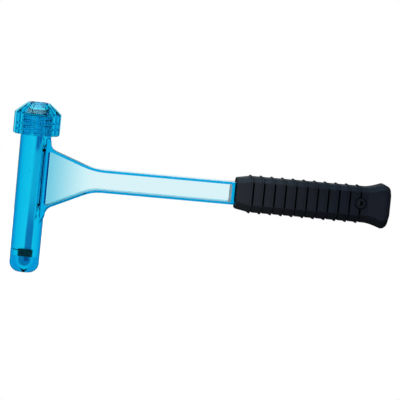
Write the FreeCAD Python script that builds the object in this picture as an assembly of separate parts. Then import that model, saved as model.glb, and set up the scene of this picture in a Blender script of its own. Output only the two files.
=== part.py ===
import FreeCAD, Part

import math
import os

# Kinetic puller mallet: a hollow, closed-bottomed striking tube with a screw cap that holds a split collet,
# and a flared, pocketed handle with a rubber grip. Millimetres. The origin is the centre of the flat striking
# face, +Z runs up the head to the cap, +X along the handle to the butt, and Y is the thickness.

# Head tube: drafted outside up to a narrower neck, with a rounded base, a tapered bore, a ledge for the cushion
# and a round-bottomed pocket under it.
STRIKE_FACE_R = 4.5
BASE_CORNER_R = 8.3
TUBE_BASE_R = STRIKE_FACE_R + BASE_CORNER_R
TUBE_TOP_R = 13.4
NECK_Z = 119.6
NECK_R = 12.8
MOUTH_Z = 136.8
POCKET_R = 5.4
POCKET_BOTTOM_Z = 4.6
LEDGE_Z = 14.0
BORE_BOTTOM_R = 7.1
BORE_MOUTH_R = 7.6
MOUTH_CHAMFER = 0.6
MOUTH_ROUND = 0.4
GATE_R = 0.9
GATE_TAPER = 0.3
GATE_HEIGHT = 0.35
GATE_X = -3.5
GATE_Z = 89.0

# Cap thread: one start, right hand, a rounded bottle thread with ribs on both parts.
PITCH = 5.0
NECK_CREST_R = 14.1
CAP_MINOR_R = 13.15
CAP_BORE_R = 14.5
RIB_CREST_WIDTH = 1.1
NECK_RIB_BASE_WIDTH = 2.3
CAP_RIB_BASE_WIDTH = 2.1
RIB_ROOT_OVERLAP = 0.3
NECK_THREAD_Z = 124.0
NECK_THREAD_TURNS = 2.25
CAP_THREAD_TURNS = 2.5

# Screw cap: a skirt with lobes between grooves, a long chamfer, a collet recess and a central hole.
CAP_R = 20.3
CAP_BOTTOM_Z = 120.0
CAP_SHOULDER_Z = 139.0
CAP_TOP_Z = 148.0
CAP_TOP_R = 10.0
CAP_BOTTOM_ROUND = 1.8
CAP_SHOULDER_ROUND = 0.8
CAP_TOP_ROUND = 0.5
CAP_HOLE_R = 7.5
CAP_HOLE_CHAMFER = 0.6
CAP_LOBES = 12
GROOVE_WIDTH = 3.8
GROOVE_DEPTH = 1.6
TOP_GROOVE_DEPTH = 1.2
GROOVE_BEND_R = 3.0
RECESS_R = 12.2
RECESS_BOTTOM_Z = 137.4
RECESS_TOP_Z = 142.0

# Collet: three jaws in a rubber ring, seated on the mouth of the tube.
COLLET_R = 11.0
COLLET_BORE_R = 5.2
COLLET_HEIGHT = 4.8
COLLET_LEAD_IN = 1.4
COLLET_CHAMFER = 0.4
COLLET_SLOT = 0.8
COLLET_JAWS = 3
SEAT_CLEARANCE = 0.02
RING_GROOVE_FLOOR_R = 9.0
RING_GROOVE_WIDTH = 2.3
O_RING_WIRE_R = 1.0
O_RING_CENTRE_R = 10.3

# Cushion pad.
PAD_R = 6.7
PAD_HEIGHT = 6.0
PAD_CHAMFER = 0.4

# Handle: a bar with a deep pocket in each face, a thin web between them, and a flare where it meets the tube.
HANDLE_Z = 85.0
BAR_HALF_HEIGHT = 9.9
BAR_HALF_THICKNESS = 9.0
RIM = 2.9
POCKET_DRAFT = 0.7
UPPER_SLOPE = math.radians(19.8)
UPPER_KNEE_X = 52.8
UPPER_KNEE_R = 60.0
UPPER_ROOT_R = 8.6
LOWER_SLOPE = math.radians(25.0)
LOWER_KNEE_X = 52.6
LOWER_KNEE_R = 36.0
LOWER_ROOT_R = 8.3
HEAD_WALL_X = 13.7
POCKET_END_X = 172.9
POCKET_HEAD_R = 1.0
POCKET_END_R = 1.0
ROOT_EAR = 1.2
ROOT_EAR_R = 1.5
UPPER_EAR_SLOPE = math.radians(40.0)
LOWER_EAR_SLOPE = math.radians(62.0)
ROOT_BURIED_X = 4.0
EDGE_ROUND = 0.8
WEB_HALF_THICKNESS = 0.35
WEB_HEAD_HALF_THICKNESS = 1.7
WEB_FLAT_X = 60.0

# Tang inside the grip.
TANG_HALF_HEIGHT = 8.5
TANG_HALF_THICKNESS = 6.5
TANG_BEVEL = 2.0
TANG_END_X = 303.0
TANG_HOLE_R = 5.0

# Grip: a sleeve with ribs, a ringed hang hole and a flared, rounded butt. Its bevels are deeper on the underside,
# so its flat faces, and the hole in the middle of them, sit above the handle's axis.
GRIP_START_X = 177.7
GRIP_FULL_X = 190.4
GRIP_END_X = 314.0
GRIP_FRONT_HALF_HEIGHT = 13.3
GRIP_HALF_HEIGHT = 15.5
GRIP_FRONT_HALF_THICKNESS = 11.6
GRIP_HALF_THICKNESS = 13.0
GRIP_TOP_BEVEL = 3.8
GRIP_BOTTOM_BEVEL = 6.8
GRIP_RIBS = 11
GRIP_RIB_SPACING = 9.47
GRIP_RIB_WIDTH = 2.2
GRIP_RIB_HEIGHT = 0.9
HANG_HOLE_X = 287.0
HANG_HOLE_Z = HANDLE_Z + (GRIP_BOTTOM_BEVEL - GRIP_TOP_BEVEL) / 2
HANG_HOLE_R = 1.9
HANG_RING_R = 4.4
HANG_RING_GAP = 0.8
BUTT_FLARE_X = 290.5
BUTT_WIDE_X = 306.5
BUTT_HALF_HEIGHT = 19.2
BUTT_HALF_THICKNESS = 15.0
BUTT_SECTIONS = 5

ORIGIN = FreeCAD.Vector(0, 0, 0)
X_AXIS = FreeCAD.Vector(1, 0, 0)
Y_AXIS = FreeCAD.Vector(0, 1, 0)
Z_AXIS = FreeCAD.Vector(0, 0, 1)
# How far a cutter runs past the face that it opens, and how deep a joined piece is sunk into its neighbour.
OVERRUN = 2.0
SUNK = 1.0
SAME_POINT = 1e-6


def side_point(x, z, y=0.0):
    return FreeCAD.Vector(x, y, z)


def rounded_wire(corners, y=0.0):
    """Closed outline in an XZ plane. Each corner is (x, z, radius), and a radius of 0 leaves it sharp."""
    starts = []
    ends = []
    middles = []
    for i, (x, z, radius) in enumerate(corners):
        corner = side_point(x, z, y)
        back = (side_point(*corners[i - 1][:2], y) - corner).normalize()
        ahead = (side_point(*corners[(i + 1) % len(corners)][:2], y) - corner).normalize()
        half_angle = back.getAngle(ahead) / 2
        reach = radius / math.tan(half_angle)
        bisector = (back + ahead).normalize()
        starts.append(corner + back * reach)
        ends.append(corner + ahead * reach)
        middles.append(corner + bisector * (radius / math.sin(half_angle) - radius))
    edges = []
    for i in range(len(corners)):
        if corners[i][2] > 0:
            edges.append(Part.Arc(starts[i], middles[i], ends[i]).toShape())
        following = starts[(i + 1) % len(corners)]
        if ends[i].distanceToPoint(following) > SAME_POINT:
            edges.append(Part.LineSegment(ends[i], following).toShape())
    return Part.Wire(edges)


def slab(corners, y_low, y_high):
    """A rounded side outline extruded through the thickness."""
    face = Part.Face(rounded_wire(corners, y_low))
    return face.extrude(Y_AXIS * (y_high - y_low))


def turned(corners):
    """A rounded (radius, z) outline revolved about the head's axis."""
    return Part.Face(rounded_wire(corners)).revolve(ORIGIN, Z_AXIS, 360)


def spun(shape, degrees):
    copy = shape.copy()
    copy.rotate(ORIGIN, Z_AXIS, degrees)
    return copy


def thread_rib(root_r, crest_r, base_width, start_z, turns):
    """One helical rib that grows from root_r to crest_r, inward or outward, and sinks a little into its wall."""
    sunk = root_r - math.copysign(RIB_ROOT_OVERLAP, crest_r - root_r)
    corners = [
        side_point(sunk, -base_width / 2),
        side_point(crest_r, -RIB_CREST_WIDTH / 2),
        side_point(crest_r, RIB_CREST_WIDTH / 2),
        side_point(sunk, base_width / 2),
    ]
    profile = Part.makePolygon(corners + corners[:1])
    path = Part.Wire(Part.makeHelix(PITCH, PITCH * turns, root_r).Edges)
    rib = path.makePipeShell([profile], True, True)
    rib.translate(Z_AXIS * start_z)
    return rib


# ---- body moulding ----


def tube_outside():
    return turned(
        [
            (0, 0, 0),
            (TUBE_BASE_R, 0, BASE_CORNER_R),
            (TUBE_TOP_R, NECK_Z, 0),
            (NECK_R, NECK_Z, 0),
            (NECK_R, MOUTH_Z, MOUTH_ROUND),
            (0, MOUTH_Z, 0),
        ]
    )


def bore():
    main = turned(
        [
            (0, LEDGE_Z, 0),
            (BORE_BOTTOM_R, LEDGE_Z, 0),
            (BORE_MOUTH_R, MOUTH_Z - MOUTH_CHAMFER, 0),
            (BORE_MOUTH_R + MOUTH_CHAMFER + OVERRUN, MOUTH_Z + OVERRUN, 0),
            (0, MOUTH_Z + OVERRUN, 0),
        ]
    )
    pocket_centre_z = POCKET_BOTTOM_Z + POCKET_R
    pocket = Part.makeCylinder(POCKET_R, LEDGE_Z - pocket_centre_z + OVERRUN, side_point(0, pocket_centre_z))
    return main.fuse(pocket).fuse(Part.makeSphere(POCKET_R, side_point(0, pocket_centre_z)))


def knee_corners(inset):
    """The upper and lower corner where the straight bar turns into the flare, moved inwards by inset."""
    upper_x = UPPER_KNEE_X - inset * math.tan(UPPER_SLOPE / 2)
    lower_x = LOWER_KNEE_X - inset * math.tan(LOWER_SLOPE / 2)
    upper = (upper_x, HANDLE_Z + BAR_HALF_HEIGHT - inset, UPPER_KNEE_R + inset)
    lower = (lower_x, HANDLE_Z - BAR_HALF_HEIGHT + inset, LOWER_KNEE_R + inset)
    return upper, lower


def inner_outline(inset, left_x, right_x, head_r, end_r):
    """Side outline parallel to the handle's edges, inset from them, between two walls at left_x and right_x."""
    upper, lower = knee_corners(inset)
    upper_left_z = upper[1] + (upper[0] - left_x) * math.tan(UPPER_SLOPE)
    lower_left_z = lower[1] - (lower[0] - left_x) * math.tan(LOWER_SLOPE)
    return [
        (left_x, upper_left_z, head_r),
        upper,
        (right_x, upper[1], end_r),
        (right_x, lower[1], end_r),
        lower,
        (left_x, lower_left_z, head_r),
    ]


def root_corners(knee, slope, radius, side, ear_slope):
    """The concave corner where the flare's edge meets the tube, and how the edge then runs on into the tube."""
    corner_z = knee[1] + side * (knee[0] - TUBE_TOP_R) * math.tan(slope)
    reach = radius / math.tan((math.radians(90) + slope) / 2)
    ear_z = corner_z + side * (reach + ROOT_EAR)
    buried_z = ear_z + side * (TUBE_TOP_R - ROOT_BURIED_X) * math.tan(ear_slope)
    return [(TUBE_TOP_R, corner_z, radius), (TUBE_TOP_R, ear_z, ROOT_EAR_R), (ROOT_BURIED_X, buried_z, 0)]


def handle_blank():
    """The bar and its flare before pocketing, with its long edges eased."""
    upper, lower = knee_corners(0)
    upper_root = root_corners(upper, UPPER_SLOPE, UPPER_ROOT_R, 1, UPPER_EAR_SLOPE)
    lower_root = root_corners(lower, LOWER_SLOPE, LOWER_ROOT_R, -1, LOWER_EAR_SLOPE)
    bar_end = [(GRIP_START_X, upper[1], 0), (GRIP_START_X, lower[1], 0)]
    corners = upper_root[::-1] + [upper] + bar_end + [lower] + lower_root
    blank = slab(corners, -BAR_HALF_THICKNESS, BAR_HALF_THICKNESS)
    eased = []
    for edge in blank.Edges:
        lies_in_a_face = edge.BoundBox.YLength < SAME_POINT
        between_the_ends = ROOT_BURIED_X + SAME_POINT < edge.CenterOfMass.x < GRIP_START_X - SAME_POINT
        if lies_in_a_face and between_the_ends:
            eased.append(edge)
    return blank.makeFillet(EDGE_ROUND, eased)


def handle_pocket(side):
    """One drafted pocket, from the face of the bar to its middle plane. side is 1 at +Y and -1 at -Y."""
    mouth_y = side * (BAR_HALF_THICKNESS + OVERRUN)
    widening = POCKET_DRAFT * (1 + OVERRUN / BAR_HALF_THICKNESS)
    left_x = HEAD_WALL_X - widening
    right_x = POCKET_END_X + widening
    mouth = inner_outline(RIM - widening, left_x, right_x, POCKET_HEAD_R, POCKET_END_R)
    floor = inner_outline(RIM, HEAD_WALL_X, POCKET_END_X, POCKET_HEAD_R, POCKET_END_R)
    return Part.makeLoft([rounded_wire(mouth, mouth_y), rounded_wire(floor, 0)], True, True)


def web():
    """The wall between the pockets: thin along the bar and thicker towards the head, on a circular ramp."""
    swell = WEB_HEAD_HALF_THICKNESS - WEB_HALF_THICKNESS
    run = WEB_FLAT_X - HEAD_WALL_X
    ramp_r = (run**2 + swell**2) / (2 * swell)
    middle_y = WEB_HALF_THICKNESS + ramp_r - math.sqrt(ramp_r**2 - (run / 2) ** 2)
    head_x = TUBE_TOP_R - SUNK
    far_x = POCKET_END_X + SUNK
    edges = []
    for side in (1, -1):
        head = FreeCAD.Vector(HEAD_WALL_X, side * WEB_HEAD_HALF_THICKNESS, 0)
        middle = FreeCAD.Vector(WEB_FLAT_X - run / 2, side * middle_y, 0)
        flat = FreeCAD.Vector(WEB_FLAT_X, side * WEB_HALF_THICKNESS, 0)
        edges.append(Part.makeLine(FreeCAD.Vector(head_x, head.y, 0), head))
        edges.append(Part.Arc(head, middle, flat).toShape())
        edges.append(Part.makeLine(flat, FreeCAD.Vector(far_x, flat.y, 0)))
    for x, y in ((head_x, WEB_HEAD_HALF_THICKNESS), (far_x, WEB_HALF_THICKNESS)):
        edges.append(Part.makeLine(FreeCAD.Vector(x, y, 0), FreeCAD.Vector(x, -y, 0)))
    plate = Part.Face(Part.Wire(Part.sortEdges(edges)[0])).extrude(Z_AXIS * (2 * HANDLE_Z))
    buried = inner_outline(RIM / 2, head_x, far_x, 0, 0)
    return plate.common(slab(buried, -BAR_HALF_THICKNESS, BAR_HALF_THICKNESS))


def octagon(x, half_height, half_thickness, top_bevel, bottom_bevel):
    """Bevelled rectangle in the plane at x, centred on the handle's axis."""
    corners = []
    for y_sign, z_sign, along_first in ((1, 1, True), (-1, 1, False), (-1, -1, True), (1, -1, False)):
        bevel = top_bevel if z_sign > 0 else bottom_bevel
        side = FreeCAD.Vector(x, y_sign * half_thickness, HANDLE_Z + z_sign * (half_height - bevel))
        cap = FreeCAD.Vector(x, y_sign * (half_thickness - bevel), HANDLE_Z + z_sign * half_height)
        corners += [side, cap] if along_first else [cap, side]
    return Part.makePolygon(corners + corners[:1])


def tang():
    start_x = GRIP_START_X - SUNK
    section = octagon(start_x, TANG_HALF_HEIGHT, TANG_HALF_THICKNESS, TANG_BEVEL, TANG_BEVEL)
    solid = Part.Face(section).extrude(X_AXIS * (TANG_END_X - start_x))
    return solid.cut(cross_cylinder(TANG_HOLE_R, TANG_HALF_THICKNESS + OVERRUN))


def cross_cylinder(radius, half_length):
    """A cylinder through the thickness at the hang hole."""
    return Part.makeCylinder(radius, 2 * half_length, side_point(HANG_HOLE_X, HANG_HOLE_Z, -half_length), Y_AXIS)


def gate_mark():
    """The small nub that the moulding gate leaves on the front of the tube."""
    surface_y = -math.sqrt(TUBE_TOP_R**2 - GATE_X**2)
    base = side_point(GATE_X, GATE_Z, surface_y + SUNK)
    return Part.makeCone(GATE_R + GATE_TAPER, GATE_R - GATE_TAPER, SUNK + GATE_HEIGHT, base, -Y_AXIS)


def mallet_body():
    outside = tube_outside().fuse(handle_blank())
    outside = outside.cut(handle_pocket(1)).cut(handle_pocket(-1))
    neck_thread = thread_rib(NECK_R, NECK_CREST_R, NECK_RIB_BASE_WIDTH, NECK_THREAD_Z, NECK_THREAD_TURNS)
    outside = outside.fuse([web(), tang(), gate_mark(), neck_thread])
    return outside.cut(bore()).removeSplitter()


# ---- screw cap ----


def cap_groove():
    """Cutter for one groove at azimuth 0: up the skirt, over the chamfer and out of the top."""
    slope = (CAP_TOP_Z - CAP_SHOULDER_Z) / (CAP_R - CAP_TOP_R)
    lift = TOP_GROOVE_DEPTH * math.sqrt(1 + slope**2)
    floor_r = CAP_R - GROOVE_DEPTH
    bend_z = CAP_SHOULDER_Z + slope * GROOVE_DEPTH - lift
    over_z = CAP_TOP_Z + OVERRUN
    over_r = floor_r - (over_z - bend_z) / slope
    corners = [
        (floor_r, CAP_BOTTOM_Z - OVERRUN, 0),
        (CAP_R + OVERRUN, CAP_BOTTOM_Z - OVERRUN, 0),
        (CAP_R + OVERRUN, over_z, 0),
        (over_r, over_z, 0),
        (floor_r, bend_z, GROOVE_BEND_R),
    ]
    return slab(corners, -GROOVE_WIDTH / 2, GROOVE_WIDTH / 2)


def screw_cap():
    outside = turned(
        [
            (0, CAP_BOTTOM_Z, 0),
            (CAP_R, CAP_BOTTOM_Z, CAP_BOTTOM_ROUND),
            (CAP_R, CAP_SHOULDER_Z, CAP_SHOULDER_ROUND),
            (CAP_TOP_R, CAP_TOP_Z, CAP_TOP_ROUND),
            (0, CAP_TOP_Z, 0),
        ]
    )
    first_groove = 180 / CAP_LOBES
    grooves = [spun(cap_groove(), first_groove + i * 360 / CAP_LOBES) for i in range(CAP_LOBES)]
    inside = turned(
        [
            (0, CAP_BOTTOM_Z - OVERRUN, 0),
            (CAP_BORE_R, CAP_BOTTOM_Z - OVERRUN, 0),
            (CAP_BORE_R, RECESS_BOTTOM_Z, 0),
            (RECESS_R, RECESS_BOTTOM_Z, 0),
            (RECESS_R, RECESS_TOP_Z, 0),
            (CAP_HOLE_R, RECESS_TOP_Z, 0),
            (CAP_HOLE_R, CAP_TOP_Z - CAP_HOLE_CHAMFER, 0),
            (CAP_HOLE_R + CAP_HOLE_CHAMFER + OVERRUN, CAP_TOP_Z + OVERRUN, 0),
            (0, CAP_TOP_Z + OVERRUN, 0),
        ]
    )
    start_z = NECK_THREAD_Z - PITCH / 2
    rib = thread_rib(CAP_BORE_R, CAP_MINOR_R, CAP_RIB_BASE_WIDTH, start_z, CAP_THREAD_TURNS)
    return outside.cut(inside).fuse(rib).cut(grooves)


# ---- collet ----


def collet_blank():
    """The whole collet as one turned ring, before it is split into jaws."""
    low = MOUTH_Z + SEAT_CLEARANCE
    high = low + COLLET_HEIGHT
    groove_low = low + (COLLET_HEIGHT - RING_GROOVE_WIDTH) / 2
    groove_high = groove_low + RING_GROOVE_WIDTH
    return turned(
        [
            (COLLET_BORE_R + COLLET_LEAD_IN, low, 0),
            (COLLET_R - COLLET_CHAMFER, low, 0),
            (COLLET_R, low + COLLET_CHAMFER, 0),
            (COLLET_R, groove_low, 0),
            (RING_GROOVE_FLOOR_R, groove_low, 0),
            (RING_GROOVE_FLOOR_R, groove_high, 0),
            (COLLET_R, groove_high, 0),
            (COLLET_R, high - COLLET_CHAMFER, 0),
            (COLLET_R - COLLET_CHAMFER, high, 0),
            (COLLET_BORE_R + COLLET_CHAMFER, high, 0),
            (COLLET_BORE_R, high - COLLET_CHAMFER, 0),
            (COLLET_BORE_R, low + COLLET_LEAD_IN, 0),
        ]
    )


def collet_jaws():
    """The ring cut into equal jaws, the first centred on +X."""
    step = 360 / COLLET_JAWS
    reach = 3 * COLLET_R
    sector = Part.makeBox(reach, reach, CAP_TOP_Z)
    wedge = spun(sector, step / 2 - 90).fuse(spun(sector, -step / 2))
    for sign in (1, -1):
        slot = Part.makeBox(reach, COLLET_SLOT, CAP_TOP_Z, side_point(0, 0, -COLLET_SLOT / 2))
        wedge = wedge.cut(spun(slot, sign * step / 2))
    jaw = collet_blank().common(wedge)
    return [spun(jaw, i * step) for i in range(COLLET_JAWS)]


def collet_o_ring():
    centre = side_point(0, MOUTH_Z + SEAT_CLEARANCE + COLLET_HEIGHT / 2)
    return Part.makeTorus(O_RING_CENTRE_R, O_RING_WIRE_R, centre)


# ---- cushion pad ----


def cushion_pad():
    pad = Part.makeCylinder(PAD_R, PAD_HEIGHT, side_point(0, LEDGE_Z))
    rims = [edge for edge in pad.Edges if isinstance(edge.Curve, Part.Circle)]
    return pad.makeChamfer(PAD_CHAMFER, rims)


# ---- grip ----


def grip_section(x, half_height, half_thickness):
    return octagon(x, half_height, half_thickness, GRIP_TOP_BEVEL, GRIP_BOTTOM_BEVEL)


def grip_outside():
    """Bevelled sections lofted from the front face to the butt, which swells and then rounds off at its end."""
    sections = [
        grip_section(GRIP_START_X, GRIP_FRONT_HALF_HEIGHT, GRIP_FRONT_HALF_THICKNESS),
        grip_section(GRIP_FULL_X, GRIP_HALF_HEIGHT, GRIP_HALF_THICKNESS),
        grip_section(BUTT_FLARE_X, GRIP_HALF_HEIGHT, GRIP_HALF_THICKNESS),
        grip_section(BUTT_WIDE_X, BUTT_HALF_HEIGHT, BUTT_HALF_THICKNESS),
    ]
    end_round = GRIP_END_X - BUTT_WIDE_X
    for i in range(1, BUTT_SECTIONS + 1):
        turn = math.radians(90) * i / BUTT_SECTIONS
        shrink = end_round * (1 - math.cos(turn))
        section_x = BUTT_WIDE_X + end_round * math.sin(turn)
        sections.append(grip_section(section_x, BUTT_HALF_HEIGHT - shrink, BUTT_HALF_THICKNESS - shrink))
    return Part.makeLoft(sections, True, True)


def grip_rib(x):
    """One rib round the sleeve, with sloping sides and a flat crest."""
    crest_height = GRIP_HALF_HEIGHT + GRIP_RIB_HEIGHT
    crest_thickness = GRIP_HALF_THICKNESS + GRIP_RIB_HEIGHT
    foot = grip_section(x - GRIP_RIB_WIDTH / 2, GRIP_HALF_HEIGHT, GRIP_HALF_THICKNESS)
    crest_back = grip_section(x - GRIP_RIB_WIDTH / 4, crest_height, crest_thickness)
    crest_front = grip_section(x + GRIP_RIB_WIDTH / 4, crest_height, crest_thickness)
    toe = grip_section(x + GRIP_RIB_WIDTH / 2, GRIP_HALF_HEIGHT, GRIP_HALF_THICKNESS)
    return Part.makeLoft([foot, crest_back, crest_front, toe], True, True)


def grip_sleeve():
    ribs = [grip_rib(GRIP_FULL_X + i * GRIP_RIB_SPACING) for i in range(GRIP_RIBS)]
    clear_ring = cross_cylinder(HANG_RING_R + HANG_RING_GAP, 2 * GRIP_HALF_THICKNESS)
    ribs[-1] = ribs[-1].cut(clear_ring)
    ring = cross_cylinder(HANG_RING_R, GRIP_HALF_THICKNESS + GRIP_RIB_HEIGHT)
    outside = grip_outside().fuse(ribs).fuse(ring)
    hang_hole = cross_cylinder(HANG_HOLE_R, 2 * GRIP_HALF_THICKNESS)
    return outside.cut(tang()).cut(hang_hole).removeSplitter()


def write(name, shape):
    shape.exportStep("parts/" + name + ".step")
    print(name, "solids", len(shape.Solids), "valid", shape.isValid(), "volume", round(shape.Volume))


os.makedirs("parts", exist_ok=True)
write("mallet_body", mallet_body())
write("screw_cap", screw_cap())
for number, jaw in enumerate(collet_jaws(), 1):
    write("collet_jaw_" + str(number), jaw)
write("collet_o_ring", collet_o_ring())
write("cushion_pad", cushion_pad())
write("grip_sleeve", grip_sleeve())
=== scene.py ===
import math

import bmesh
import bpy
from mathutils import Matrix, Vector


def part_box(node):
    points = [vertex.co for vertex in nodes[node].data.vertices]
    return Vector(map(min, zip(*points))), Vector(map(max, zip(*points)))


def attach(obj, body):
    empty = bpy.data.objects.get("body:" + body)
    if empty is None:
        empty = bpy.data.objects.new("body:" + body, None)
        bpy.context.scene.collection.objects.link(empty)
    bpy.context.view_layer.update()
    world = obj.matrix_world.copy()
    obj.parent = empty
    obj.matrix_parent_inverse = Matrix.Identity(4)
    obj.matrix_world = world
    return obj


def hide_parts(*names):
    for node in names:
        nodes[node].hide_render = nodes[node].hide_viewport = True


# Looks of the kinetic puller mallet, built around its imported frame. Metres, in the frame's own axes: +Z up the
# head, +X along the handle, Y through the thickness.

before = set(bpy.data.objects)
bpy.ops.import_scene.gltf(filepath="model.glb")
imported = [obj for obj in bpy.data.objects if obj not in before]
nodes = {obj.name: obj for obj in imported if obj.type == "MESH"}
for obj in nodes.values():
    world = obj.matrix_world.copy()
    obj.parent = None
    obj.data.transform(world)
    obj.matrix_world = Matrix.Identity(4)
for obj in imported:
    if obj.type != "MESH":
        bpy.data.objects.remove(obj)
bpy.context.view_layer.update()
MM = 0.001

# Camera: a long lens that looks along the handle's thickness from a little above and from the head's side, rolled
# so that the handle falls to the right.
VIEW_CENTRE = Vector((147.7, 0, 76.0)) * MM
VIEW_WIDTH = 348.9 * MM
SENSOR_WIDTH_MM = 36.0
LENS_MM = 300.0
AZIMUTH = math.radians(6.2)
ELEVATION = math.radians(4.8)
ROLL = math.radians(5.65)

# Grip sleeve: the moulding's own outline, with flat-topped ribs and a narrow groove behind each rib.
GRIP_TOP_BEVEL = 3.8 * MM
GRIP_BOTTOM_BEVEL = 6.8 * MM
GRIP_CORNER_R = 1.1 * MM
GRIP_HALF_HEIGHT = 15.5 * MM
GRIP_HALF_THICKNESS = 13.0 * MM
GRIP_FRONT_HALF_HEIGHT = 13.3 * MM
GRIP_FRONT_HALF_THICKNESS = 11.6 * MM
GRIP_FULL_X = 190.4 * MM
FRONT_EDGE_R = 0.8 * MM
RIB_COUNT = 11
RIB_SPACING = 9.47 * MM
RIB_WIDTH = 2.2 * MM
RIB_HEIGHT = 0.9 * MM
RIB_EDGE = 0.45 * MM
GROOVE_WIDTH = 1.4 * MM
GROOVE_DEPTH = 0.5 * MM
FACE_GROOVE_DEPTH = 1.9 * MM
GROOVE_EDGE = 0.3 * MM
BUTT_FLARE_X = 290.5 * MM
BUTT_WIDE_X = 306.5 * MM
BUTT_HALF_HEIGHT = 19.2 * MM
BUTT_HALF_THICKNESS = 15.0 * MM
PANEL_START_X = 293.5 * MM
PANEL_END_X = 310.8 * MM
PANEL_HEIGHT = 0.45 * MM
PANEL_EDGE = 0.6 * MM
HANG_HOLE_X = 287.0 * MM
HANG_HOLE_R = 1.9 * MM
HANG_RING_R = 4.4 * MM
HANG_RING_RIM = 0.5 * MM
HANG_RING_OVERLAP = 0.3 * MM
HANG_RING_GAP = 0.8 * MM
HANG_GROOVE_DEPTH = 1.0 * MM
FACE_MIDDLE = (GRIP_BOTTOM_BEVEL - GRIP_TOP_BEVEL) / 2
TANG_HALF_HEIGHT = 8.5 * MM
TANG_HALF_THICKNESS = 6.5 * MM
TANG_END_X = 303.0 * MM
TANG_BEVEL = 2.0 * MM
TANG_CORNER_R = 0.2 * MM
TANG_CLEARANCE = 0.05 * MM
GRIP_SHARP_ANGLE = 35
SAME_PLACE = 0.01 * MM

# Cushion pad: a body with a thin lip on top, pushed to one side so that it presses on the wall of the bore.
PAD_BODY_R = 6.5 * MM
PAD_LIP_R = 6.85 * MM
PAD_LIP_HEIGHT = 1.2 * MM
PAD_LIP_SHIFT = 0.36 * MM
PAD_DOME = 0.25 * MM
PAD_ROUND = 0.35 * MM

O_RING_CENTRE_R = 10.3 * MM
O_RING_WIRE_R = 1.0 * MM
O_RING_FLASH = 0.04 * MM

HEAD_SEGMENTS = 144
HOLE_SEGMENTS = 72

# Colours and surfaces. Colours are linear (r, g, b).
PLASTIC_TINT = (0.0, 0.887, 0.963)
PLASTIC_DENSITY = 450.0
PLASTIC_IOR = 1.52
PLASTIC_ROUGHNESS = 0.04
METAL_DARK = (0.72, 0.73, 0.75)
METAL_LIGHT = (0.84, 0.85, 0.86)
GRIP_DARK = (0.007, 0.009, 0.015)
GRIP_LIGHT = (0.010, 0.013, 0.021)
GRIP_SPECULAR = 0.18
SEAL_DARK = (0.0012, 0.0014, 0.002)
SEAL_LIGHT = (0.002, 0.0022, 0.003)
SEAL_SPECULAR = 0.02

# Where the plastic's colour is painted to stand in for light: painted shade on the web, greyer and darker near
# the head, painted dark lines on the pockets' walls and brinks beside the tube, and painted shade in the cup under
# the pad.
WEB_REACH = 1.75 * MM
WEB_START_X = 13.9 * MM
WEB_CLEAR_X = 46.0 * MM
# Painted shade: the colour that darkens and greys the web near the head.
WEB_PAINTED_SHADE = (0.82, 0.7, 0.8)
WEB_CLEAR_SHARE = 0.25
HEAD_WALL_X = 13.8 * MM
HEAD_WALL_REACH = 0.32 * MM
# Painted shade: dark navy lines on the pockets' walls and brinks beside the tube, standing in for dark
# refractions.
HEAD_WALL_PAINTED_SHADE = (0.0, 0.06, 0.25)
WALL_BRINK_X = 12.6 * MM
WALL_BRINK_REACH = 0.5 * MM
BAR_FACE_Y = 8.5 * MM
POCKET_MIDDLE_Z = 83.0 * MM
POCKET_HALF_HEIGHT = 22.4 * MM
CUP_R = 5.6 * MM
CUP_MIDDLE_Z = 8.5 * MM
CUP_HALF_HEIGHT = 5.4 * MM
# Painted shade: darkens the plastic of the cup under the pad.
CUP_PAINTED_SHADE = (0.45, 0.36, 0.54)

# Where the grip's colour is painted: painted light that makes it paler towards the head, painted shade on the
# floors of the grooves in its faces, and the deeper colour of the panels on the butt.
GROOVE_FLOOR_Y = 12.4 * MM
GROOVES_START_X = 191.0 * MM
GROOVES_END_X = 292.5 * MM
FACE_MIDDLE_Z = 86.5 * MM
FACE_HALF_HEIGHT = 10.1 * MM
GRIP_PALE_X = 180.0 * MM
GRIP_DEEP_X = 270.0 * MM
# Painted light: the grip is made paler towards the head.
GRIP_PAINTED_LIGHT = (0.021, 0.025, 0.032)
# Painted shade on the floors of the grooves in the grip's faces.
GROOVE_PAINTED_SHADE = (0.0008, 0.0009, 0.0011)
PANEL_COLOUR = (0.0105, 0.0125, 0.022)

# Stage. A panel is (inner angle, outer angle, brightness), in degrees from its axis. A band is (start, full,
# fading, end), in degrees. The flag's strength is (at the top, in the middle, at the bottom), and it is seen only
# through the hollow tube, by light that has crossed more than FLAG_CROSSINGS surfaces.
FLOOR_R = 0.6
FLOOR_GAP = 0.2 * MM
FLOOR_PAINT = (0.4, 0.4, 0.4)
FLOOR_GLOW = 0.85
BACKLIGHT = 1.05
HEIGHT_GAP = (26.0, 34.0, 52.0, 60.0)
HEIGHT_GAP_DEPTH = 0.2
SIDE_FLAG = (6.0, 11.0, 28.0, 35.0)
FLAG_SLANT = 2.4
FLAG_LEAN_LIMIT = 0.1
FLAG_STEEP = (9.0, 13.0)
FLAG_TOP = (-4.25, -3.9)
FLAG_BOTTOM = (4.9, 5.55)
FLAG_STRENGTH = (1.0, 0.36, 0.86)
FLAG_TINT = (0.2, 0.125, 0.4)
FLAG_CROSSINGS = 3.0
LAMP_AXIS = (-0.09, 0.13, 0.987)
LAMP = (4.0, 30.0, 5.2)
LAMP_TINT = (0.34, 0.8, 1.0)
LAMP_TINTED_LEVEL = 0.5
BACKDROP_RISE = (0.0, 3.0)
BACKDROP = (15.0, 30.0, 1.0)
ROOM_LEVEL = 0.03
AMBIENT_LEVEL = 0.25
SUN_TOWARDS = (-0.3, -0.95, 0.6)
SUN_LEVEL = 2.6
SUN_SPREAD = 40.0
FILL_TOWARDS = (0.6, 0.8, 0.5)
FILL_LEVEL = 1.3


# ---- node helpers ----


def new_material(name):
    material = bpy.data.materials.new(name)
    material.use_nodes = True
    tree = material.node_tree
    return material, tree, tree.nodes["Principled BSDF"]


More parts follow.
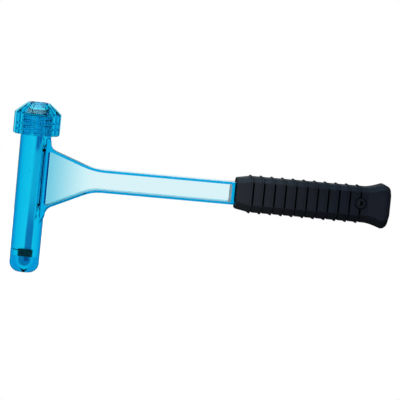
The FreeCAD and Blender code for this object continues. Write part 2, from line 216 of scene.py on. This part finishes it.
def object_noise(tree, scale, detail=4.0, stretch=(1, 1, 1)):
    """Noise in the frame's own coordinates, in cycles per metre, so that it doesn't slide or depend on UVs."""
    place = tree.nodes.new("ShaderNodeTexCoord")
    mapping = tree.nodes.new("ShaderNodeMapping")
    mapping.inputs["Scale"].default_value = stretch
    noise = tree.nodes.new("ShaderNodeTexNoise")
    noise.inputs["Scale"].default_value = scale
    noise.inputs["Detail"].default_value = detail
    tree.links.new(place.outputs["Object"], mapping.inputs["Vector"])
    tree.links.new(mapping.outputs["Vector"], noise.inputs["Vector"])
    return noise.outputs["Fac"]


def ramp(tree, value, low, high, from_low=0.3, from_high=0.7):
    span = tree.nodes.new("ShaderNodeMapRange")
    span.inputs["From Min"].default_value = from_low
    span.inputs["From Max"].default_value = from_high
    span.inputs["To Min"].default_value = low
    span.inputs["To Max"].default_value = high
    tree.links.new(value, span.inputs["Value"])
    return span.outputs["Result"]


def blend_colour(tree, value, low, high):
    """Mixes two colours, each an (r, g, b) or a node's output."""
    mix = tree.nodes.new("ShaderNodeMix")
    mix.data_type = "RGBA"
    tree.links.new(value, mix.inputs["Factor"])
    colours = [socket for socket in mix.inputs if socket.type == "RGBA"]
    for socket, colour in zip(colours, (low, high)):
        if isinstance(colour, tuple):
            socket.default_value = (*colour, 1)
        else:
            tree.links.new(colour, socket)
    return next(socket for socket in mix.outputs if socket.type == "RGBA")


def bump(tree, shader, height, distance, strength=1.0):
    node = tree.nodes.new("ShaderNodeBump")
    node.inputs["Distance"].default_value = distance
    node.inputs["Strength"].default_value = strength
    tree.links.new(height, node.inputs["Height"])
    tree.links.new(node.outputs["Normal"], shader.inputs["Normal"])


def object_axes(tree):
    """The X, Y and Z of the shaded point in the frame's own coordinates, in metres."""
    place = tree.nodes.new("ShaderNodeTexCoord")
    split = tree.nodes.new("ShaderNodeSeparateXYZ")
    tree.links.new(place.outputs["Object"], split.inputs["Vector"])
    return split.outputs["X"], split.outputs["Y"], split.outputs["Z"]


def arithmetic(tree, operation, *values):
    node = tree.nodes.new("ShaderNodeMath")
    node.operation = operation
    for socket, value in zip(node.inputs, values):
        if isinstance(value, float):
            socket.default_value = value
        else:
            tree.links.new(value, socket)
    return node.outputs["Value"]


def within(tree, value, centre, reach):
    """1 where the value is nearer to the centre than reach, and 0 elsewhere."""
    offset = arithmetic(tree, "ABSOLUTE", arithmetic(tree, "SUBTRACT", value, centre))
    return arithmetic(tree, "LESS_THAN", offset, reach)


# ---- materials ----


def tinted_plastic(name, wave_scale, wave_stretch, wave_depth):
    """Polished, transparent blue plastic. The tint comes from the depth of plastic that the light crosses, and the
    surface is faintly uneven, as a moulding's is. The base colour adds painted shade on the web near the head, on
    the pockets' walls and brinks beside the tube and in the cup under the pad."""
    material, tree, shader = new_material(name)
    x, y, z = object_axes(tree)
    from_middle = arithmetic(tree, "ABSOLUTE", y)
    on_web = arithmetic(tree, "LESS_THAN", from_middle, WEB_REACH)
    # Painted shade on the web: strongest near the head, fading out towards WEB_CLEAR_X.
    web_shade_share = arithmetic(tree, "MULTIPLY", on_web, ramp(tree, x, 1.0, WEB_CLEAR_SHARE, WEB_START_X, WEB_CLEAR_X))
    beside_tube = arithmetic(tree, "GREATER_THAN", x, WEB_START_X)
    web = blend_colour(tree, arithmetic(tree, "MULTIPLY", web_shade_share, beside_tube), (1, 1, 1), WEB_PAINTED_SHADE)
    off_web = arithmetic(tree, "GREATER_THAN", from_middle, WEB_REACH)
    # Painted shade: dark lines on the pockets' head walls and on the brinks beside the tube.
    on_wall = arithmetic(tree, "MULTIPLY", within(tree, x, HEAD_WALL_X, HEAD_WALL_REACH), off_web)
    on_face = arithmetic(tree, "GREATER_THAN", from_middle, BAR_FACE_Y)
    on_brink = arithmetic(tree, "MULTIPLY", within(tree, x, WALL_BRINK_X, WALL_BRINK_REACH), on_face)
    on_wall = arithmetic(tree, "MAXIMUM", on_wall, on_brink)
    on_wall = arithmetic(tree, "MULTIPLY", on_wall, within(tree, z, POCKET_MIDDLE_Z, POCKET_HALF_HEIGHT))
    # Painted shade in the cup under the pad.
    squared = arithmetic(tree, "MULTIPLY_ADD", x, x, arithmetic(tree, "MULTIPLY", y, y))
    near_axis = arithmetic(tree, "LESS_THAN", arithmetic(tree, "SQRT", squared), CUP_R)
    in_cup = arithmetic(tree, "MULTIPLY", near_axis, within(tree, z, CUP_MIDDLE_Z, CUP_HALF_HEIGHT))
    cup = blend_colour(tree, in_cup, web, CUP_PAINTED_SHADE)
    tree.links.new(blend_colour(tree, on_wall, cup, HEAD_WALL_PAINTED_SHADE), shader.inputs["Base Color"])
    shader.inputs["Transmission Weight"].default_value = 1.0
    shader.inputs["IOR"].default_value = PLASTIC_IOR
    faint = object_noise(tree, scale=260, detail=3.0)
    tree.links.new(ramp(tree, faint, 0.0, PLASTIC_ROUGHNESS), shader.inputs["Roughness"])
    bump(tree, shader, object_noise(tree, wave_scale, 2.0, wave_stretch), wave_depth)
    tint = tree.nodes.new("ShaderNodeVolumeAbsorption")
    tint.inputs["Color"].default_value = (*PLASTIC_TINT, 1)
    tint.inputs["Density"].default_value = PLASTIC_DENSITY
    tree.links.new(tint.outputs["Volume"], tree.nodes["Material Output"].inputs["Volume"])
    return material


def turned_aluminium():
    """Bare aluminium with faint tool marks round the axis."""
    material, tree, shader = new_material("collet_metal")
    shader.inputs["Metallic"].default_value = 1.0
    rings = object_noise(tree, scale=900, detail=2.0, stretch=(0.05, 0.05, 1))
    cloud = object_noise(tree, scale=150, detail=3.0)
    tree.links.new(blend_colour(tree, cloud, METAL_DARK, METAL_LIGHT), shader.inputs["Base Color"])
    tree.links.new(ramp(tree, rings, 0.22, 0.38), shader.inputs["Roughness"])
    bump(tree, shader, rings, 0.03 * MM)
    return material


def grip_fade(tree, colour):
    """The grip's colour: painted light that makes it paler towards the head, painted shade on the floors of the
    grooves and deeper panels on the butt."""
    x, y, z = object_axes(tree)
    # Painted light: paler towards the head, from GRIP_PALE_X to GRIP_DEEP_X.
    painted_light_share = ramp(tree, x, 1.0, 0.0, GRIP_PALE_X, GRIP_DEEP_X)
    painted_lit_colour = blend_colour(tree, painted_light_share, colour, GRIP_PAINTED_LIGHT)
    # Painted shade on the groove floors.
    deep = arithmetic(tree, "LESS_THAN", arithmetic(tree, "ABSOLUTE", y), GROOVE_FLOOR_Y)
    grooves_middle = (GROOVES_START_X + GROOVES_END_X) / 2
    among_grooves = within(tree, x, grooves_middle, GROOVES_END_X - grooves_middle)
    on_face = within(tree, z, FACE_MIDDLE_Z, FACE_HALF_HEIGHT)
    groove_shade = arithmetic(tree, "MULTIPLY", arithmetic(tree, "MULTIPLY", deep, among_grooves), on_face)
    panel_middle = (PANEL_START_X + PANEL_END_X) / 2
    on_panel = within(tree, x, panel_middle, PANEL_END_X - panel_middle)
    on_panel = arithmetic(tree, "MULTIPLY", on_panel, on_face)
    return blend_colour(tree, groove_shade, blend_colour(tree, on_panel, painted_lit_colour, PANEL_COLOUR), GROOVE_PAINTED_SHADE)


def rubber(name, dark, light, grain_scale, grain_depth, specular, recolour=None):
    """Matt black rubber with a fine spark-eroded grain and faint handling marks."""
    material, tree, shader = new_material(name)
    cloud = object_noise(tree, scale=45)
    grain = object_noise(tree, grain_scale, detail=2.0)
    colour = blend_colour(tree, ramp(tree, cloud, 0, 1), dark, light)
    # For the grip, this adds painted light and painted shade to the colour.
    if recolour:
        colour = recolour(tree, colour)
    tree.links.new(colour, shader.inputs["Base Color"])
    tree.links.new(ramp(tree, cloud, 0.74, 0.6), shader.inputs["Roughness"])
    shader.inputs["Specular IOR Level"].default_value = specular
    bump(tree, shader, grain, grain_depth, 0.6)
    return material


# ---- mesh helpers ----


def mesh_object(name, points, faces, material, sharp_angle=30):
    mesh = bpy.data.meshes.new(name)
    mesh.from_pydata(points, [], faces)
    mesh.validate()
    work = bmesh.new()
    work.from_mesh(mesh)
    bmesh.ops.remove_doubles(work, verts=work.verts, dist=1e-7)
    bmesh.ops.recalc_face_normals(work, faces=work.faces)
    work.to_mesh(mesh)
    work.free()
    mesh.shade_smooth()
    mesh.set_sharp_from_angle(angle=math.radians(sharp_angle))
    mesh.materials.append(material)
    obj = bpy.data.objects.new(name, mesh)
    bpy.context.scene.collection.objects.link(obj)
    return obj


def lofted(name, rings, material, closed=False, sharp_angle=30):
    """Rings of equal point counts joined side by side. The ends are capped unless the loft closes on itself."""
    count = len(rings[0])
    points = [point for ring in rings for point in ring]
    faces = []
    last = len(rings) if closed else len(rings) - 1
    for i in range(last):
        here = i * count
        there = (i + 1) % len(rings) * count
        for j in range(count):
            k = (j + 1) % count
            faces.append((here + j, here + k, there + k, there + j))
    if not closed:
        faces.append(tuple(range(count)))
        faces.append(tuple(range((len(rings) - 1) * count, len(rings) * count)))
    return mesh_object(name, points, faces, material, sharp_angle)


def arc(centre, radius, start, end, steps):
    """Points (u, v) on an arc, with both ends. Angles are in degrees."""
    points = []
    for i in range(steps + 1):
        angle = math.radians(start + (end - start) * i / steps)
        points.append((centre[0] + radius * math.cos(angle), centre[1] + radius * math.sin(angle)))
    return points


def revolved(name, profile, material, segments=HEAD_SEGMENTS, sharp_angle=30):
    """A closed (radius, z) outline turned about the head's axis."""
    rings = []
    for i in range(segments):
        angle = 2 * math.pi * i / segments
        rings.append([(r * math.cos(angle), r * math.sin(angle), z) for r, z in profile])
    return lofted(name, rings, material, closed=True, sharp_angle=sharp_angle)


def combine(target, tool, operation):
    """Joins the tool to the target (UNION) or takes it out (DIFFERENCE), for good."""
    step = target.modifiers.new("combine", "BOOLEAN")
    step.operation = operation
    step.solver = "EXACT"
    step.object = tool
    bpy.context.view_layer.update()
    mesh = bpy.data.meshes.new_from_object(target.evaluated_get(bpy.context.evaluated_depsgraph_get()))
    target.modifiers.clear()
    target.data = mesh
    bpy.data.objects.remove(tool)


# ---- grip sleeve ----


def smooth(value):
    value = min(max(value, 0.0), 1.0)
    return value * value * (3 - 2 * value)


def section(half_height, half_thickness, top_bevel, bottom_bevel, corner_r):
    """Bevelled rectangle as (y, z) points with rounded corners, the same count for every size."""
    corners = []
    for sy, sz, along_side_first in ((1, 1, True), (-1, 1, False), (-1, -1, True), (1, -1, False)):
        bevel = top_bevel if sz > 0 else bottom_bevel
        side = Vector((sy * half_thickness, sz * (half_height - bevel)))
        cap = Vector((sy * (half_thickness - bevel), sz * half_height))
        corners += [side, cap] if along_side_first else [cap, side]
    arc_steps = 4
    flat_steps = (4, 10, 4, 24)
    points = []
    for i, corner in enumerate(corners):
        back = (corners[i - 1] - corner).normalized()
        ahead = (corners[(i + 1) % 8] - corner).normalized()
        half_angle = back.angle(ahead) / 2
        reach = corner_r / math.tan(half_angle)
        centre = corner + (back + ahead).normalized() * (corner_r / math.sin(half_angle))
        start = corner + back * reach - centre
        end = corner + ahead * reach - centre
        turn = start.angle_signed(end)
        for k in range(arc_steps + 1):
            angle = -turn * k / arc_steps
            spot = centre + Matrix.Rotation(angle, 2) @ start
            points.append(spot)
        following = corners[(i + 1) % 8]
        far = following - ahead * reach
        near = corner + ahead * reach
        steps = flat_steps[i % 4]
        for k in range(1, steps):
            points.append(near.lerp(far, k / steps))
    return points


def grip_size(x, start_x, end_x):
    """Half height and half thickness of the sleeve at x, without its ribs."""
    height, thickness = GRIP_HALF_HEIGHT, GRIP_HALF_THICKNESS
    if x < GRIP_FULL_X:
        share = (x - start_x) / (GRIP_FULL_X - start_x)
        height = GRIP_FRONT_HALF_HEIGHT + (height - GRIP_FRONT_HALF_HEIGHT) * share
        thickness = GRIP_FRONT_HALF_THICKNESS + (thickness - GRIP_FRONT_HALF_THICKNESS) * share
        edge = max(0.0, 1 - (x - start_x) / FRONT_EDGE_R)
        shrink = FRONT_EDGE_R * (1 - math.sqrt(1 - edge * edge))
        return height - shrink, thickness - shrink
    if x > BUTT_FLARE_X:
        share = min((x - BUTT_FLARE_X) / (BUTT_WIDE_X - BUTT_FLARE_X), 1.0)
        eased = share * share * (1.5 - 0.5 * share)
        height += (BUTT_HALF_HEIGHT - height) * eased
        thickness += (BUTT_HALF_THICKNESS - thickness) * eased
    if x > BUTT_WIDE_X:
        end_r = end_x - BUTT_WIDE_X
        across = min((x - BUTT_WIDE_X) / end_r, 1.0)
        shrink = end_r * (1 - math.sqrt(1 - across * across))
        height -= shrink
        thickness -= shrink
    return height, thickness


def rib_height(x, groove_depth):
    """Proud height of the ribs at x: a flat-topped ridge with a narrow, steep groove behind it."""
    half = RIB_WIDTH / 2
    for i in range(RIB_COUNT):
        offset = x - (GRIP_FULL_X + i * RIB_SPACING)
        if -half <= offset <= half:
            return RIB_HEIGHT * smooth((half - abs(offset)) / RIB_EDGE)
        if half < offset < half + GROOVE_WIDTH:
            from_middle = abs(offset - half - GROOVE_WIDTH / 2)
            return -groove_depth * smooth((GROOVE_WIDTH / 2 - from_middle) / GROOVE_EDGE)
    return 0.0


def panel_height(x, from_axis, half_width):
    """Proud height of the flat panel on each face of the butt."""
    along = min(x - PANEL_START_X, PANEL_END_X - x) / PANEL_EDGE
    across = (half_width - abs(from_axis)) / PANEL_EDGE
    return PANEL_HEIGHT * smooth(along) * smooth(across)


def grip_stations(start_x, end_x):
    """The x of each ring: fine on the ribs, the front edge and the rounded end, and coarse between them."""
    front_steps = 5
    turns = [math.radians(90 * i / front_steps) for i in range(front_steps + 1)]
    stations = [start_x + FRONT_EDGE_R * (1 - math.cos(turn)) for turn in turns]
    half = RIB_WIDTH / 2
    edge_steps = [k * RIB_EDGE / 4 for k in range(5)]
    groove_steps = [k * GROOVE_EDGE / 3 for k in range(4)]
    for i in range(RIB_COUNT):
        middle = GRIP_FULL_X + i * RIB_SPACING
        groove_end = middle + half + GROOVE_WIDTH
        stations += [middle - half + step for step in edge_steps]
        stations += [middle + half - step for step in edge_steps]
        stations += [middle, middle + half + GROOVE_WIDTH / 2]
        stations += [middle + half + step for step in groove_steps[1:]]
        stations += [groove_end - step for step in groove_steps]
        gap = RIB_SPACING - RIB_WIDTH - GROOVE_WIDTH
        stations += [groove_end + gap * k / 4 for k in range(1, 4)]
    flare_start = GRIP_FULL_X + (RIB_COUNT - 1) * RIB_SPACING + half + GROOVE_WIDTH
    flare_steps = 40
    stations += [flare_start + (BUTT_WIDE_X - flare_start) * k / flare_steps for k in range(1, flare_steps + 1)]
    end_r = end_x - BUTT_WIDE_X
    end_steps = 20
    stations += [BUTT_WIDE_X + end_r * math.sin(math.radians(90 * k / end_steps)) for k in range(1, end_steps + 1)]
    stations.sort()
    kept = stations[:1]
    for x in stations[1:]:
        if x - kept[-1] > SAME_PLACE:
            kept.append(x)
    return kept


def grip_blank(low, high, material):
    """The sleeve as a solid, with its ribs and the panels on the butt."""
    axis_z = (low.z + high.z) / 2
    rings = []
    for x in grip_stations(low.x, high.x):
        height, thickness = grip_size(x, low.x, high.x)
        proud = rib_height(x, GROOVE_DEPTH)
        face_proud = rib_height(x, FACE_GROOVE_DEPTH)
        face_half_height = height - (GRIP_TOP_BEVEL + GRIP_BOTTOM_BEVEL) / 2
        ring = []
        for y, z in section(height, thickness, GRIP_TOP_BEVEL, GRIP_BOTTOM_BEVEL, GRIP_CORNER_R):
            wider = 1 + proud / thickness
            if abs(y) > thickness - SAME_PLACE:
                from_middle = z - FACE_MIDDLE
                near_ring = math.hypot(x - HANG_HOLE_X, from_middle) < HANG_RING_R + HANG_RING_GAP
                rib = 0.0 if near_ring else face_proud
                wider = 1 + (rib + panel_height(x, from_middle, face_half_height)) / thickness
            ring.append((x, y * wider, axis_z + z * (1 + proud / height)))
        rings.append(ring)
    return lofted("grip_rubber", rings, material)


def cross_turned(name, profile, centre, material, segments=HOLE_SEGMENTS):
    """A closed (radius, y) outline turned about the axis of the hang hole."""
    rings = []
    for i in range(segments):
        angle = 2 * math.pi * i / segments
        along, up = math.cos(angle), math.sin(angle)
        rings.append([(centre.x + r * along, y, centre.z + r * up) for r, y in profile])
    return lofted(name, rings, material, closed=True)


def cross_plug(radius, y_low, y_high, centre, material, segments=HOLE_SEGMENTS):
    """A solid cylinder through the thickness at the hang hole."""
    rings = []
    for y in (y_low, y_high):
        turns = [2 * math.pi * i / segments for i in range(segments)]
        rings.append([(centre.x + radius * math.cos(a), y, centre.z + radius * math.sin(a)) for a in turns])
    return lofted("plug", rings, material)


def ring_boss(centre, reach, material):
    """The ring round the hang hole, standing out of both faces, with rounded rims."""
    rim = HANG_RING_RIM
    outer = arc((HANG_RING_R - rim, reach - rim), rim, 90, 0, 5)
    inner = arc((HANG_HOLE_R + rim, reach - rim), rim, 180, 90, 5)
    front = inner + outer
    back = [(r, -y) for r, y in reversed(front)]
    return cross_turned("ring", front + back, centre, material)


def grip_sleeve(material):
    low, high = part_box("grip_sleeve")
    sleeve = grip_blank(low, high, material)
    axis_z = (low.z + high.z) / 2
    centre = Vector((HANG_HOLE_X, 0, axis_z + FACE_MIDDLE))
    beyond = 2 * high.y
    tang_height = TANG_HALF_HEIGHT + TANG_CLEARANCE
    tang_thickness = TANG_HALF_THICKNESS + TANG_CLEARANCE
    tang_rings = []
    for x in (low.x - beyond, TANG_END_X):
        outline = section(tang_height, tang_thickness, TANG_BEVEL, TANG_BEVEL, TANG_CORNER_R)
        tang_rings.append([(x, y, axis_z + z) for y, z in outline])
    combine(sleeve, lofted("tang", tang_rings, material), "DIFFERENCE")
    for side in (1, -1):
        floor_y = side * (GRIP_HALF_THICKNESS - HANG_GROOVE_DEPTH)
        groove = cross_plug(HANG_RING_R + HANG_RING_GAP, floor_y, side * beyond, centre, material)
        combine(sleeve, groove, "DIFFERENCE")
    through = cross_plug(HANG_RING_R - HANG_RING_OVERLAP, -beyond, beyond, centre, material)
    combine(sleeve, through, "DIFFERENCE")
    combine(sleeve, ring_boss(centre, GRIP_HALF_THICKNESS + RIB_HEIGHT, material), "UNION")
    sleeve.data.shade_smooth()
    sleeve.data.set_sharp_from_angle(angle=math.radians(GRIP_SHARP_ANGLE))
    return sleeve


# ---- cushion pad and o-ring ----


def cushion_pad(material):
    """The pad with rounded rims, a lip and a slightly domed top."""
    low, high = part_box("cushion_pad")
    lip_z = high.z - PAD_LIP_HEIGHT
    profile = [(0, low.z)]
    profile += arc((PAD_BODY_R - PAD_ROUND, low.z + PAD_ROUND), PAD_ROUND, -90, 0, 5)
    profile += [(PAD_BODY_R, lip_z - PAD_ROUND / 2)]
    profile += arc((PAD_LIP_R - PAD_ROUND, lip_z + PAD_ROUND), PAD_ROUND, -90, 0, 5)
    profile += arc((PAD_LIP_R - PAD_ROUND, high.z - PAD_DOME - PAD_ROUND), PAD_ROUND, 0, 90, 5)
    dome_steps = 6
    for k in range(1, dome_steps + 1):
        share = k / dome_steps
        profile.append(((PAD_LIP_R - PAD_ROUND) * (1 - share), high.z - PAD_DOME * (1 - share) ** 2))
    pad = revolved("cushion_rubber", profile, material)
    for point in pad.data.vertices:
        if point.co.z > lip_z - PAD_ROUND / 4:
            point.co.x -= PAD_LIP_SHIFT
    return pad


def collet_o_ring(material):
    """A round wire with a faint flash line at its mould's parting plane."""
    low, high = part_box("collet_o_ring")
    middle_z = (low.z + high.z) / 2
    profile = []
    steps = 24
    for i in range(steps):
        angle = 2 * math.pi * i / steps
        flash = O_RING_FLASH if i in (0, steps // 2) else 0.0
        reach = O_RING_WIRE_R - O_RING_FLASH + flash
        profile.append((O_RING_CENTRE_R + reach * math.cos(angle), middle_z + reach * math.sin(angle)))
    return revolved("collet_o_ring_rubber", profile, material, sharp_angle=60)


# ---- build ----


def dress(name, material):
    nodes[name].data.materials.clear()
    nodes[name].data.materials.append(material)


def stand_in(piece, node, body):
    """A modelled piece that takes the place of a plain CAD solid."""
    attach(piece, body)
    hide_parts(node)


metal = turned_aluminium()
grip_rubber = rubber("grip_rubber", GRIP_DARK, GRIP_LIGHT, 3800, 0.05 * MM, GRIP_SPECULAR, grip_fade)
seal_rubber = rubber("seal_rubber", SEAL_DARK, SEAL_LIGHT, 2600, 0.02 * MM, SEAL_SPECULAR)

dress("mallet_body", tinted_plastic("tube_plastic", 300, (1, 1, 0.04), 0.008 * MM))
dress("screw_cap", tinted_plastic("cap_plastic", 300, (1, 1, 1), 0.006 * MM))
for number in (1, 2, 3):
    dress("collet_jaw_" + str(number), metal)
stand_in(grip_sleeve(grip_rubber), "grip_sleeve", "mallet")
stand_in(cushion_pad(seal_rubber), "cushion_pad", "mallet")
stand_in(collet_o_ring(seal_rubber), "collet_o_ring", "chuck")


# ---- stage ----


def make_floor():
    """A round, pale table top with a little light of its own, so that the tool throws hardly any shadow."""
    steps = 96
    mesh = bpy.data.meshes.new("floor")
    rim = [2 * math.pi * i / steps for i in range(steps)]
    points = [(FLOOR_R * math.cos(a), FLOOR_R * math.sin(a), -FLOOR_GAP) for a in rim]
    mesh.from_pydata(points, [], [tuple(range(steps))])
    floor = bpy.data.objects.new("floor", mesh)
    floor.location.x = VIEW_CENTRE.x
    floor.visible_transmission = False
    floor.visible_glossy = False
    floor.visible_diffuse = False
    bpy.context.scene.collection.objects.link(floor)
    material, tree, shader = new_material("floor_paint")
    shader.inputs["Base Color"].default_value = (*FLOOR_PAINT, 1)
    shader.inputs["Roughness"].default_value = 0.9
    shader.inputs["Emission Color"].default_value = (1, 1, 1, 1)
    shader.inputs["Emission Strength"].default_value = FLOOR_GLOW
    mesh.materials.append(material)


def soft_sun(name, towards, strength, spread):
    """Diffuse light from the direction `towards`. spread is its width in degrees."""
    lamp = bpy.data.lights.new(name, "SUN")
    lamp.energy = strength
    lamp.angle = math.radians(spread)
    obj = bpy.data.objects.new(name, lamp)
    obj.rotation_euler = (-Vector(towards)).to_track_quat("-Z", "Y").to_euler()
    obj.visible_glossy = False
    obj.visible_transmission = False
    bpy.context.scene.collection.objects.link(obj)


def step_up(tree, value, start, full):
    """Rises smoothly from 0 to 1 as the value goes from start to full."""
    rise = tree.nodes.new("ShaderNodeMapRange")
    rise.interpolation_type = "SMOOTHSTEP"
    rise.inputs["From Min"].default_value = start
    rise.inputs["From Max"].default_value = full
    tree.links.new(value, rise.inputs["Value"])
    return rise.outputs["Result"]


def panel(tree, component, inner, outer, level):
    """Brightness of a soft-edged round panel seen along one axis."""
    seen = step_up(tree, component, math.cos(math.radians(outer)), math.cos(math.radians(inner)))
    return arithmetic(tree, "MULTIPLY", seen, level)


def sines(angles):
    return [math.sin(math.radians(angle)) for angle in angles]


def band(tree, sine, angles):
    """1 inside a soft-edged band and 0 outside it. sine is the sine of the angle that the band is given in."""
    start, full, fading, end = sines(angles)
    return arithmetic(tree, "SUBTRACT", step_up(tree, sine, start, full), step_up(tree, sine, fading, end))


def along(tree, direction, axis):
    dot = tree.nodes.new("ShaderNodeVectorMath")
    dot.operation = "DOT_PRODUCT"
    dot.inputs[1].default_value = axis
    tree.links.new(direction, dot.inputs[0])
    return dot.outputs["Value"]


def pick(tree, factor, otherwise, chosen):
    mix = tree.nodes.new("ShaderNodeMix")
    for socket, value in ((mix.inputs["Factor"], factor), (mix.inputs["A"], otherwise), (mix.inputs["B"], chosen)):
        if isinstance(value, float):
            socket.default_value = value
        else:
            tree.links.new(value, socket)
    return mix.outputs["Result"]


def make_world():
    """A white backdrop. Light that comes through plastic sees a bright room with a dimmer band above eye level
    and a tinted flag at one side. Reflections see a dim room with a tinted lamp overhead and the backdrop
    behind."""
    world = bpy.data.worlds.new("studio")
    bpy.context.scene.world = world
    world.use_nodes = True
    tree = world.node_tree
    direction = tree.nodes.new("ShaderNodeTexCoord").outputs["Generated"]
    upward = along(tree, direction, (0, 0, 1))
    sideways = along(tree, direction, (math.cos(AZIMUTH), -math.sin(AZIMUTH), 0))
    downward = arithmetic(tree, "MULTIPLY", upward, -1.0)
    dimming = arithmetic(tree, "MULTIPLY", band(tree, upward, HEIGHT_GAP), HEIGHT_GAP_DEPTH)
    through = arithmetic(tree, "MULTIPLY", arithmetic(tree, "SUBTRACT", 1.0, dimming), BACKLIGHT)
    backdrop = panel(tree, along(tree, direction, (math.sin(AZIMUTH), math.cos(AZIMUTH), 0)), *BACKDROP)
    backdrop = arithmetic(tree, "MULTIPLY", backdrop, step_up(tree, upward, *sines(BACKDROP_RISE)))
    reflected = arithmetic(tree, "ADD", backdrop, ROOM_LEVEL)
    lamp = panel(tree, along(tree, direction, LAMP_AXIS), *LAMP)
    reflected = arithmetic(tree, "ADD", reflected, lamp)
    rays = tree.nodes.new("ShaderNodeLightPath")
    level = pick(tree, rays.outputs["Is Transmission Ray"], reflected, through)
    level = pick(tree, rays.outputs["Is Diffuse Ray"], level, AMBIENT_LEVEL)
    level = pick(tree, rays.outputs["Is Camera Ray"], level, 1.0)
    tree.links.new(level, tree.nodes["Background"].inputs["Strength"])
    at_top, at_middle, at_bottom = FLAG_STRENGTH
    top = step_up(tree, upward, *sines(FLAG_TOP))
    bottom = step_up(tree, downward, *sines(FLAG_BOTTOM))
    strength = arithmetic(tree, "MULTIPLY_ADD", top, at_top - at_middle, at_middle)
    strength = arithmetic(tree, "MULTIPLY_ADD", bottom, at_bottom - at_middle, strength)
    lean = arithmetic(tree, "MINIMUM", downward, FLAG_LEAN_LIMIT)
    slanted = arithmetic(tree, "MULTIPLY_ADD", lean, FLAG_SLANT, sideways)
    flag = arithmetic(tree, "MULTIPLY", band(tree, slanted, SIDE_FLAG), strength)
    steep = step_up(tree, arithmetic(tree, "ABSOLUTE", upward), *sines(FLAG_STEEP))
    flag = arithmetic(tree, "MULTIPLY", flag, arithmetic(tree, "SUBTRACT", 1.0, steep))
    hollow = arithmetic(tree, "GREATER_THAN", rays.outputs["Transmission Depth"], FLAG_CROSSINGS)
    flag = arithmetic(tree, "MULTIPLY", flag, hollow)
    flag = arithmetic(tree, "MULTIPLY", flag, rays.outputs["Is Transmission Ray"])
    colour = blend_colour(tree, flag, (1, 1, 1), FLAG_TINT)
    on_lamp = step_up(tree, lamp, 0.0, LAMP_TINTED_LEVEL)
    lit = arithmetic(tree, "MULTIPLY", on_lamp, rays.outputs["Is Glossy Ray"])
    tree.links.new(blend_colour(tree, lit, colour, LAMP_TINT), tree.nodes["Background"].inputs["Color"])


def make_camera():
    distance = VIEW_WIDTH * LENS_MM / SENSOR_WIDTH_MM
    ahead = Vector((math.sin(AZIMUTH), math.cos(AZIMUTH), 0))
    towards = -ahead * math.cos(ELEVATION) + Vector((0, 0, math.sin(ELEVATION)))
    level_right = Vector((math.cos(AZIMUTH), -math.sin(AZIMUTH), 0))
    level_up = towards.cross(level_right)
    right = level_right * math.cos(ROLL) + level_up * math.sin(ROLL)
    up = level_up * math.cos(ROLL) - level_right * math.sin(ROLL)
    lens = bpy.data.cameras.new("camera")
    lens.lens = LENS_MM
    lens.sensor_width = SENSOR_WIDTH_MM
    lens.clip_start = 0.01
    camera = bpy.data.objects.new("camera", lens)
    place = VIEW_CENTRE + towards * distance
    camera.matrix_world = Matrix.Translation(place) @ Matrix((right, up, towards)).transposed().to_4x4()
    bpy.context.scene.collection.objects.link(camera)
    bpy.context.scene.camera = camera


make_floor()
make_world()
soft_sun("key", SUN_TOWARDS, SUN_LEVEL, SUN_SPREAD)
soft_sun("fill", FILL_TOWARDS, FILL_LEVEL, SUN_SPREAD)
make_camera()
bpy.context.scene.view_settings.view_transform = "Standard"
